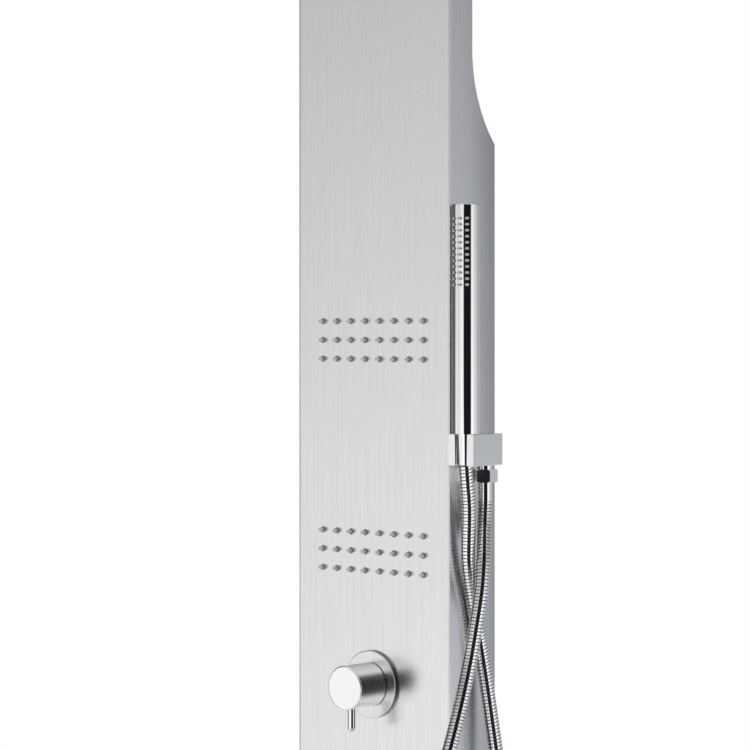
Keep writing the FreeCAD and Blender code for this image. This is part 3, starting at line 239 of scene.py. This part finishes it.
# ---------------------------------------------------------------- hose
# A 1.5 m shower hose of polished double-locked steel strip, wound in a close helix whose edges show as
# grooves, darkened with painted shade. It hangs from the handset's swivel nut, crosses its own other leg and
# comes back to the ferrule.

hose_radius = 0.007
edge_radius = 0.0068
groove_radius = 0.0063
hose_pitch = 0.00335
hose_segments = 24
rolled_edge = 0.125
strip_profile = [(0.0, groove_radius), (0.08, edge_radius), (rolled_edge, hose_radius), (0.15, hose_radius),
                 (0.50, hose_radius), (0.85, hose_radius), (1 - rolled_edge, hose_radius),
                 (0.92, edge_radius)]
route_steps = 60
merge_distance = 1e-6
sliver_length = 1e-7
handset_axis = (0.1155, -0.0644)

hose_route = [
    (0.1155, -0.0644, 0.0715),
    (0.1157, -0.0632, 0.0560),
    (0.1147, -0.0586, 0.0330),
    (0.1119, -0.0559, 0.0050),
    (0.1092, -0.0537, -0.0260),
    (0.1078, -0.0445, -0.0600),
    (0.1079, -0.0356, -0.0940),
    (0.1098, -0.0280, -0.1330),
    (0.1142, -0.0220, -0.1840),
    (0.1210, -0.0142, -0.2570),
    (0.1290, -0.0105, -0.3500),
    (0.1350, -0.0102, -0.4560),
    (0.1376, -0.0140, -0.5500),
    (0.1370, -0.0340, -0.6040),
    (0.1346, -0.0680, -0.6330),
    (0.1314, -0.1120, -0.6410),
    (0.1282, -0.1540, -0.6240),
    (0.1254, -0.1815, -0.5810),
    (0.1226, -0.1860, -0.4960),
    (0.1195, -0.1690, -0.4000),
    (0.1168, -0.1400, -0.3160),
    (0.1158, -0.1070, -0.2400),
    (0.1165, -0.0788, -0.1750),
    (0.1188, -0.0641, -0.1260),
    (0.1224, -0.0579, -0.0860),
    (0.1245, -0.0518, -0.0530),
    (0.1233, -0.0468, -0.0240),
    (0.1192, -0.0412, -0.0010),
    (0.1155, -0.0360, 0.0170),
    (0.1155, -0.0350, 0.0351),
]


def smooth_line(points):
    """The points that a smooth curve with these control points runs through, as one array."""
    curve = bpy.data.curves.new("route", "CURVE")
    curve.dimensions = "3D"
    spline = curve.splines.new("NURBS")
    spline.points.add(len(points) - 1)
    for point, place in zip(spline.points, points):
        point.co = (*place, 1)
    spline.order_u = 3
    spline.use_endpoint_u = True
    spline.resolution_u = route_steps
    holder = bpy.data.objects.new("route", curve)
    bpy.context.scene.collection.objects.link(holder)
    mesh = bpy.data.meshes.new_from_object(holder)
    line = np.zeros(len(mesh.vertices) * 3)
    mesh.vertices.foreach_get("co", line)
    bpy.data.objects.remove(holder)
    return line.reshape(-1, 3)


def along(line, stations):
    """Places and directions at distances along a line, read between its points in a straight line."""
    steps = np.linalg.norm(np.diff(line, axis=0), axis=1)
    travelled = np.concatenate(([0], np.cumsum(steps)))
    places = np.column_stack([np.interp(stations, travelled, line[:, k]) for k in range(3)])
    tangents = np.gradient(line, travelled, axis=0, edge_order=2)
    turned = np.column_stack([np.interp(stations, travelled, tangents[:, k]) for k in range(3)])
    return places, turned / np.linalg.norm(turned, axis=1, keepdims=True)


def add_piece(name, points, faces, finishes, which=None):
    """A mesh piece at the origin, its doubled points merged and its open ends closed.

    Where there is more than one finish, which gives each face the number of its own.
    """
    mesh = bpy.data.meshes.new(name)
    mesh.from_pydata(points.tolist(), [], faces.tolist())
    for made in finishes:
        mesh.materials.append(made)
    if which is not None:
        mesh.polygons.foreach_set("material_index", which)
    work = bmesh.new()
    work.from_mesh(mesh)
    bmesh.ops.remove_doubles(work, verts=work.verts, dist=merge_distance)
    bmesh.ops.dissolve_degenerate(work, edges=work.edges, dist=sliver_length)
    open_edges = [edge for edge in work.edges if edge.is_boundary]
    if open_edges:
        bmesh.ops.holes_fill(work, edges=open_edges)
    bmesh.ops.recalc_face_normals(work, faces=work.faces)
    work.to_mesh(mesh)
    work.free()
    mesh.polygons.foreach_set("use_smooth", [True] * len(mesh.polygons))
    piece = bpy.data.objects.new(name, mesh)
    bpy.context.scene.collection.objects.link(piece)
    return piece


def wound_hose(name, line, finishes):
    """A tube of strip wound on a helix round a line. Returns the piece and its centre line.

    Point j of a row lies at the row's distance along the line plus j's share of a turn's pitch, so every row
    follows the helix, and the last point of a row meets the first of the row one turn on. Each turn has rows
    at the strip's own places across it, with the strip's radius there: a flat crown between rolled edges,
    and a groove from the last row to the next turn's first. Groove and edges are in the second finish, whose
    near-black colour is painted shade.
    """
    strip_places, strip_radii = np.array(strip_profile).T
    total = np.linalg.norm(np.diff(line, axis=0), axis=1).sum()
    turns = round(total / hose_pitch)
    pitch = total / turns
    per_turn = len(strip_profile)
    rows = np.arange(-per_turn, turns * per_turn + 1)
    across = strip_places[rows % per_turn]
    shares = np.arange(hose_segments + 1) / hose_segments
    stations = (rows // per_turn + across)[:, None] * pitch + shares * pitch
    radii = np.repeat(strip_radii[rows % per_turn][:, None], len(shares), axis=1)
    radii[(stations <= 0) | (stations >= total)] = groove_radius
    places, tangents = along(line, np.clip(stations, 0, total).ravel())
    side = np.array([1.0, 0.0, 0.0]) - tangents * tangents[:, :1]
    side /= np.linalg.norm(side, axis=1, keepdims=True)
    other = np.cross(tangents, side)
    angles = np.tile(shares * 2 * math.pi, len(rows))[:, None]
    points = places + radii.reshape(-1, 1) * (np.cos(angles) * side + np.sin(angles) * other)
    corner = np.arange(len(points)).reshape(len(rows), len(shares))
    quads = np.stack((corner[:-1, :-1], corner[1:, :-1], corner[1:, 1:], corner[:-1, 1:]), axis=-1)
    in_groove = (across[:-1] < rolled_edge) | (across[:-1] >= 1 - rolled_edge)
    which = np.repeat(in_groove.astype(int), hose_segments)
    piece = add_piece(name, points, quads.reshape(-1, 4), finishes, which)
    centres = along(line, np.linspace(0, total, turns + 1))[0]
    return piece, centres


def soft_noise(tree, scale, stretch, detail):
    """Soft noise on the piece's own coordinates, stretched along the axes."""
    place = add(tree, "ShaderNodeTexCoord")["Object"]
    stretched = add(tree, "ShaderNodeMapping", {"Vector": place, "Scale": stretch})[0]
    return add(tree, "ShaderNodeTexNoise", {"Vector": stretched, "Scale": scale, "Detail": detail})["Fac"]


noise_low = 0.3
noise_high = 0.7
drift_detail = 3.0
grain_detail = 2.0


def vary_roughness(tree, shader, low, high, scale, stretch=(1, 1, 1)):
    """Roughness that drifts from low to high as soft noise goes through the middle of its range."""
    noise = soft_noise(tree, scale, stretch, drift_detail)
    spread = add(tree, "ShaderNodeMapRange", {"Value": noise, "From Min": noise_low, "From Max": noise_high,
                                              "To Min": low, "To Max": high})[0]
    tree.links.new(spread, shader.inputs["Roughness"])


def grain(tree, shader, scale, depth, stretch=(1, 1, 1)):
    """Fine relief from soft noise, with its depth in metres."""
    noise = soft_noise(tree, scale, stretch, grain_detail)
    relief = add(tree, "ShaderNodeBump", {"Height": noise, "Strength": 1.0, "Distance": depth})[0]
    tree.links.new(relief, shader.inputs["Normal"])


def finish(name, colour, metallic, roughness, drift=None, relief=None):
    """A surface whose roughness has a drift and which has a fine relief, where they are given.

    The drift is the arguments of vary_roughness and the relief those of grain, by name.
    """
    made, tree, shader = surface(name, colour, metallic, roughness)
    if drift:
        vary_roughness(tree, shader, **drift)
    if relief:
        grain(tree, shader, **relief)
    return made


polished_colour = (0.88, 0.885, 0.89)


def polished(name, low, high):
    """Bright metal, with the faint smears of handling in its gloss and a hair of buffing waviness."""
    return finish(name, polished_colour, 1.0, low, drift=dict(low=low, high=high, scale=45.0),
                  relief=dict(scale=30.0, depth=0.00001))


hose_steel = polished("hose_steel", 0.06, 0.12)
# The grooves' near-black steel is painted shade.
groove_shade_steel = finish("groove_shade_steel", (0.06, 0.06, 0.06), 1.0, 0.45,
                      drift=dict(low=0.35, high=0.55, scale=400.0))
hose, hose_line = wound_hose("hose_wound_strip", smooth_line(hose_route), [hose_steel, groove_shade_steel])
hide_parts("hose")
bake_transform(hose)


# ---------------------------------------------------------------- hose ends and outlet
# Chrome-plated brass: the conical swivel nut that screws on the handset, and the hexagon nut and crimped
# ferrule at the outlet, with a black rubber washer in each.

chrome = polished("chrome", 0.03, 0.07)
seal_rubber = finish("seal_rubber", (0.03, 0.03, 0.03), 0.0, 0.6, relief=dict(scale=900.0, depth=0.00004))


def dress(made, *names):
    """Gives CAD nodes their finish."""
    for name in names:
        for held in nodes[name].material_slots:
            held.material = made


dress(chrome, "swivel_nut", "outlet_nut", "hose_ferrule", "outlet_tail")
dress(seal_rubber, "swivel_washer", "outlet_washer")


# ---------------------------------------------------------------- casing
# Satin stainless sheet, brushed along the column: two flat cheeks, the folded front between them, the cover
# behind the neck, the rain plate and the bottom plate.

satin_colour = (0.877, 0.880, 0.889)
# Painted shade darkens a cheek from shade_start_y to shade_end_y, towards the wall.
wall_side_painted_shade = 0.56
shade_start_y = -0.058
shade_end_y = 0.012
# Along the front seam: a dark line, partly the joint and partly painted shade, then a painted highlight on
# the rounded edge.
seam_start_y = -0.0702
seam_end_y = -0.0662
joint_shade_and_highlight_levels = [(0.0, 1.0), (0.055, 1.0), (0.06, 0.55), (0.12, 0.55), (0.15, 1.14), (0.60, 1.14), (0.9, 1.0),
              (1.0, 1.0)]


def brushed(name):
    """Stainless sheet with a fine vertical grain."""
    return finish(name, satin_colour, 1.0, 0.25,
                  drift=dict(low=0.25, high=0.30, scale=400.0, stretch=(1, 1, 0.02)),
                  relief=dict(scale=1400.0, depth=0.000003, stretch=(1, 1, 0.012)))


def share_between(tree, value, start, end, **settings):
    """The value's share of the way from start to end, 0 before it and 1 past it."""
    way = {"Value": value, "From Min": start, "From Max": end}
    return add(tree, "ShaderNodeMapRange", way, **settings)[0]


def colour_from(made, colour):
    """Gives a material's shader its base colour from another node's output."""
    tree = made.node_tree
    tree.links.new(colour, tree.nodes["Principled BSDF"].inputs["Base Color"])


# A cheek darkens from the front towards the wall, which is painted shade. Along its front seam it has a dark
# line, partly the joint and partly painted shade, and a bright line, a painted highlight on its rounded
# edge.
satin = brushed("satin_steel")
cheek_steel = brushed("cheek_steel")
cheek_tree = cheek_steel.node_tree
cheek_y = parts_of(cheek_tree, add(cheek_tree, "ShaderNodeTexCoord")["Object"])[1]
shade = share_between(cheek_tree, cheek_y, shade_start_y, shade_end_y, interpolation_type="SMOOTHSTEP")
shaded = mixed(cheek_tree, shade, satin_colour, [wall_side_painted_shade * part for part in satin_colour])
across_seam = share_between(cheek_tree, cheek_y, seam_start_y, seam_end_y)
joint_shade_and_highlight = colour_ramp(cheek_tree, across_seam, [(place, grey(tone)) for place, tone in joint_shade_and_highlight_levels])
colour_from(cheek_steel, mixed(cheek_tree, 1.0, shaded, joint_shade_and_highlight, blend_type="MULTIPLY"))
dress(satin, "front_fascia", "back_cover", "bottom_plate", "rain_plate")
dress(cheek_steel, "left_cheek", "right_cheek")


# ---------------------------------------------------------------- wall fixing
# Two brackets folded from mill-finish steel sheet, screwed to the wall, and the two hanger bars spot-welded
# between the cheeks that hook over them.

mill_steel = finish("mill_steel", (0.52, 0.53, 0.54), 1.0, 0.4, drift=dict(low=0.32, high=0.5, scale=60.0),
                    relief=dict(scale=700.0, depth=0.00003, stretch=(0.05, 1, 1)))
dress(mill_steel, "wall_bracket_upper", "wall_bracket_lower", "hanger_bar_upper", "hanger_bar_lower")


# ---------------------------------------------------------------- body jets
# Two mats of grey silicone rubber whose nozzles stand out through the front, each with a black moulded
# manifold clamped behind it by four plated screws.

front_y = -0.070
collar_end_y = -0.0712
tip_start_y = -0.0724
collar_colour = (0.22, 0.222, 0.225)
tip_colour = (0.55, 0.55, 0.56)
jet_columns = 8
jet_rows = 3
jet_pitch = 0.019
jet_centres = (0.1925, -0.0188)
collar_segments = 24
collar_profile = [(0.0026, -0.0003), (0.0031, -0.0003), (0.0031, 0.0003), (0.0030, 0.0007), (0.0027, 0.0010),
                  (0.0023, 0.0012), (0.0019, 0.0013), (0.0015, 0.0013)]


def moulded_rubber(name, colour):
    """Silicone rubber with a fine moulded skin."""
    return finish(name, colour, 0.0, 0.45, drift=dict(low=0.4, high=0.55, scale=300.0),
                  relief=dict(scale=1500.0, depth=0.00003))


# The rubber is darker in the collars than in the tips.
jet_rubber = moulded_rubber("jet_rubber", collar_colour)
jet_tree = jet_rubber.node_tree
jet_y = parts_of(jet_tree, add(jet_tree, "ShaderNodeTexCoord")["Object"])[1]
tip_share = share_between(jet_tree, jet_y, collar_end_y, tip_start_y)
colour_from(jet_rubber, mixed(jet_tree, tip_share, collar_colour, tip_colour))


def ring_faces(rings, segments, copies):
    """The faces of many copies of a stack of rings, where a copy's points follow those of the copy before.

    Each face joins two neighbours in a ring to the same two in the next ring, and the last point of a ring
    neighbours its first.
    """
    row = np.arange(rings - 1)[:, None] * segments
    step = np.arange(segments)
    after = (step + 1) % segments
    quads = np.stack((row + step, row + after, row + segments + after, row + segments + step), axis=-1)
    starts = np.arange(copies) * rings * segments
    return (starts[:, None, None] + quads.reshape(1, -1, 4)).reshape(-1, 4)


def turned_copies(profile, centres, segments):
    """The same turned shape at many places, on axes along -y. Returns its points and faces.

    A profile point is a radius and a height: the point at turn a lies at the centre, plus the radius times
    the cosine of a along x and its sine along z, less the height along y.
    """
    turns = np.linspace(0, 2 * math.pi, segments, endpoint=False)
    radii, rises = np.array(profile).T
    x = radii[:, None] * np.cos(turns)
    y = -np.repeat(rises[:, None], segments, axis=1)
    z = radii[:, None] * np.sin(turns)
    shape = np.stack((x, y, z), axis=-1).reshape(1, -1, 3)
    points = (np.array(centres)[:, None, :] + shape).reshape(-1, 3)
    return points, ring_faces(len(profile), segments, len(centres))


jet_x = (np.arange(jet_columns) - (jet_columns - 1) / 2) * jet_pitch
jet_z = (np.arange(jet_rows) - (jet_rows - 1) / 2) * jet_pitch
for group, jet_centre in zip(("upper", "lower"), jet_centres):
    across, up = np.meshgrid(jet_x, jet_z + jet_centre)
    places = np.column_stack((across.ravel(), np.full(across.size, front_y), up.ravel()))
    points, faces = turned_copies(collar_profile, places, collar_segments)
    collars = add_piece("jet_collars_" + group, points, faces, [jet_rubber])
    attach(collars, "root")

black_plastic = finish("black_plastic", (0.025, 0.025, 0.027), 0.0, 0.5,
                       relief=dict(scale=1800.0, depth=0.00005))
zinc = finish("zinc_plate", (0.55, 0.56, 0.58), 1.0, 0.3, drift=dict(low=0.25, high=0.4, scale=300.0))
dress(jet_rubber, "jet_mat_upper", "jet_mat_lower")
dress(black_plastic, "jet_manifold_upper", "jet_manifold_lower")
dress(zinc, "jet_manifold_screws")


# ---------------------------------------------------------------- rain head
# A drilled steel plate under the head with a rubber mat of small nozzles, and a black moulded chamber
# clamped above them.

rain_rubber = moulded_rubber("rain_rubber", (0.3, 0.3, 0.31))
dress(rain_rubber, "rain_mat")
dress(black_plastic, "rain_chamber")
dress(zinc, "rain_chamber_screws")


# ---------------------------------------------------------------- valves
# Cast and turned brass behind the front, moulded cartridges, and in front of it two brushed steel plates,
# their turned rims darkened with painted shade, under the chrome-plated knob, dome and handle.

# The plates' rims, where the surface turns away from the front, are darkened with painted shade.
rim_painted_shade = (0.22, 0.22, 0.22)
face_normal_y = -0.6
rim_normal_y = -0.3

cast_brass = finish("cast_brass", (0.58, 0.45, 0.22), 1.0, 0.45, drift=dict(low=0.4, high=0.6, scale=200.0),
                    relief=dict(scale=900.0, depth=0.00012))
turned_brass = finish("turned_brass", (0.74, 0.57, 0.27), 1.0, 0.25,
                      drift=dict(low=0.2, high=0.34, scale=200.0))
acetal = finish("white_acetal", (0.72, 0.72, 0.7), 0.0, 0.4, relief=dict(scale=1200.0, depth=0.00002))
# Painted shade on the plates' rims, by how far their surface turns from the front.
plate_steel = brushed("plate_steel")
plate_tree = plate_steel.node_tree
normal_y = parts_of(plate_tree, add(plate_tree, "ShaderNodeNewGeometry")["Normal"])[1]
rim_shade_share = share_between(plate_tree, normal_y, face_normal_y, rim_normal_y)
colour_from(plate_steel, mixed(plate_tree, rim_shade_share, satin_colour, rim_painted_shade))
dress(cast_brass, "diverter_body", "mixer_body")
dress(turned_brass, "diverter_lock_nut", "mixer_lock_nut", "diverter_spindle", "mixer_stem")
dress(acetal, "diverter_cartridge", "mixer_cartridge", "mixer_carrier")
dress(seal_rubber, "diverter_gasket", "mixer_gasket")
dress(plate_steel, "diverter_escutcheon", "mixer_escutcheon")
dress(chrome, "diverter_knob", "mixer_dome", "mixer_lever")
dress(zinc, "diverter_grub_screw", "mixer_grub_screw", "mixer_pivot_pin")


# ---------------------------------------------------------------- water ways
# Drawn copper tube bent to run behind the front, with hexagon brass compression nuts, and the brass nipple
# and elbow that bring the water out through the right cheek.

copper = finish("drawn_copper", (0.72, 0.36, 0.22), 1.0, 0.3, drift=dict(low=0.24, high=0.45, scale=90.0))
dress(copper, "feed_tube_main", "feed_tube_rain", "feed_tube_upper_jets", "feed_tube_lower_jets",
      "feed_tube_handset")
dress(turned_brass, "compression_nuts", "outlet_nipple")
dress(cast_brass, "outlet_elbow")
dress(zinc, "holder_screws")


# ---------------------------------------------------------------- holder block
# A chrome-plated cast block on the right cheek, its tapered bore open in front, so that the hose passes in
# and the swivel nut's cone sits in it.

dress(chrome, "holder_block")


# ---------------------------------------------------------------- handset
# A slim chrome tube with a plastic waterway inside and four columns of grey rubber nozzles near its top.

handset_radius = 0.01405
nozzle_columns = 4
nozzle_rows = 12
nozzle_step = math.radians(29.3)
nozzle_pitch = 0.00583
nozzle_top_z = 0.3103
nozzle_half_width = 0.0024
nozzle_half_height = 0.0013
nozzle_segments = 24
nozzle_profile = [(1.0, -0.0004), (1.0, 0.0005), (0.95, 0.0009), (0.82, 0.0012), (0.55, 0.0014),
                  (0.2, 0.0014), (0.17, 0.0012), (0.0, 0.0012)]
tip_grey = (0.44, 0.43, 0.415)
# The tips' dark ends are painted shade.
end_painted_shade = (0.06, 0.06, 0.06)
grey_half_angle = math.radians(5.6)
dark_half_angle = math.radians(6.8)


def nozzle_tips():
    """Domed oval tips on the handset's wall. Returns their points and faces.

    A profile point is a share of the oval and a height over the wall. The point at turn a lies at the angle
    of its column plus the share times the half width times the cosine of a, over the radius, at the radius
    plus the height, and above its row by the share times the half height times the sine of a.
    """
    turns = np.linspace(0, 2 * math.pi, nozzle_segments, endpoint=False)
    shares, rises = np.array(nozzle_profile).T
    columns = (np.arange(nozzle_columns) - (nozzle_columns - 1) / 2) * nozzle_step
    heights = nozzle_top_z - np.arange(nozzle_rows) * nozzle_pitch
    column, height = [grid.reshape(-1, 1, 1) for grid in np.meshgrid(columns, heights)]
    angle = column + shares[:, None] * nozzle_half_width * np.cos(turns) / handset_radius
    reach = handset_radius + rises[:, None]
    x = handset_axis[0] + reach * np.sin(angle)
    y = handset_axis[1] - reach * np.cos(angle)
    z = height + shares[:, None] * nozzle_half_height * np.sin(turns)
    points = np.stack((x, y, z), axis=-1).reshape(-1, 3)
    return points, ring_faces(len(nozzle_profile), nozzle_segments, len(column))


# Each tip is grey near the middle of its column and dark at its two ends, where the darkness is painted
# shade beside the tip. The folded angle is 0 midway between two columns and goes up to half a step at a
# column's middle.
nozzle_rubber = finish("nozzle_rubber", tip_grey, 0.0, 0.5, drift=dict(low=0.42, high=0.58, scale=600.0),
                       relief=dict(scale=1800.0, depth=0.00003))
nozzle_tree = nozzle_rubber.node_tree
nozzle_place = add(nozzle_tree, "ShaderNodeTexCoord")["Object"]
to_axis = (-handset_axis[0], -handset_axis[1], 0)
from_axis = add(nozzle_tree, "ShaderNodeMapping", {"Vector": nozzle_place, "Location": to_axis})[0]
x, y, z = parts_of(nozzle_tree, from_axis)
half_step = nozzle_step / 2
angle = angle_round(nozzle_tree, x, y)
folded = add(nozzle_tree, "ShaderNodeMath", {0: angle, 1: half_step}, operation="PINGPONG")[0]
end_shade_share = share_between(nozzle_tree, folded, half_step - grey_half_angle, half_step - dark_half_angle)
colour_from(nozzle_rubber, mixed(nozzle_tree, end_shade_share, tip_grey, end_painted_shade))

tip_points, tip_faces = nozzle_tips()
tips = add_piece("handset_nozzle_tips", tip_points, tip_faces, [nozzle_rubber])
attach(tips, "handset")
dress(chrome, "handset_tube", "handset_cap", "handset_spigot")
dress(acetal, "handset_core")
dress(nozzle_rubber, "handset_nozzles")
